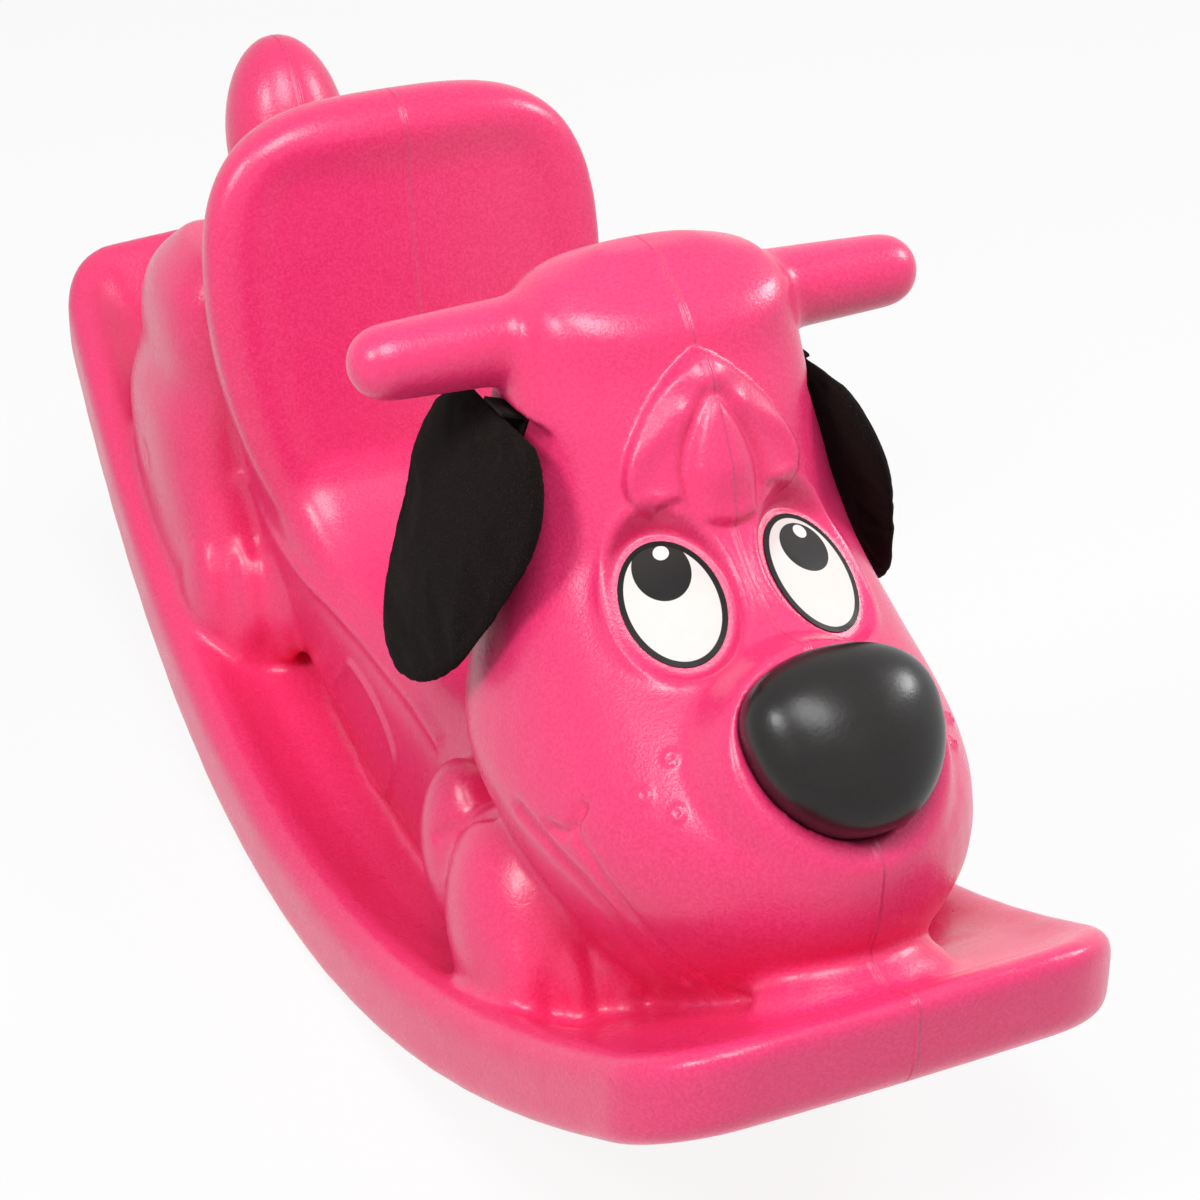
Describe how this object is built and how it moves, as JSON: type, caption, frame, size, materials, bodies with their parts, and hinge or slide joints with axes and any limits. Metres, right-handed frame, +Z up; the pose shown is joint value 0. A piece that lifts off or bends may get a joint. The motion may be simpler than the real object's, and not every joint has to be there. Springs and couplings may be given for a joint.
{
  "type": "rocking dog ride-on",
  "caption": "Blow-moulded child's rocking dog with a rocker tray, saddle seat, backrest, handles, domed nose and hinged padded ears.",
  "frame": {"origin": "on the floor, midway between the two ends of the rocker and on its centre plane", "axes": "-Y is the way the dog faces, +Z up, +X the dog's left"},
  "size_m": [0.2892, 0.8456, 0.413],
  "materials": {
    "body_plastic": "satin, finely grained",
    "nose_plastic": "satin",
    "label": "gloss print",
    "ear_fabric": "soft pile",
    "tab_plastic": "matte",
    "screw_steel": "satin"
  },
  "bodies": {
    "body": {"body_moulding": "body_plastic", "nose_cap": "nose_plastic", "eye_label_left": "label", "eye_label_right": "label", "ear_tab_left": "tab_plastic", "ear_tab_right": "tab_plastic", "ear_screw_left_upper": "screw_steel", "ear_washer_left_upper": "screw_steel", "ear_screw_left_lower": "screw_steel", "ear_washer_left_lower": "screw_steel", "ear_screw_right_upper": "screw_steel", "ear_washer_right_upper": "screw_steel", "ear_screw_right_lower": "screw_steel", "ear_washer_right_lower": "screw_steel"},
    "ear_left": {"ear_left": "ear_fabric"},
    "ear_right": {"ear_right": "ear_fabric"}
  },
  "joints": [
    {"name": "ear_left_hinge", "type": "hinge", "parent": "body", "child": "ear_left", "pos_m": [0.078, -0.16, 0.34308], "axis": [0, -1, 0], "range_deg": [0, 60]},
    {"name": "ear_right_hinge", "type": "hinge", "parent": "body", "child": "ear_right", "pos_m": [-0.078, -0.16, 0.34308], "axis": [0, 1, 0], "range_deg": [0, 60]}
  ]
}
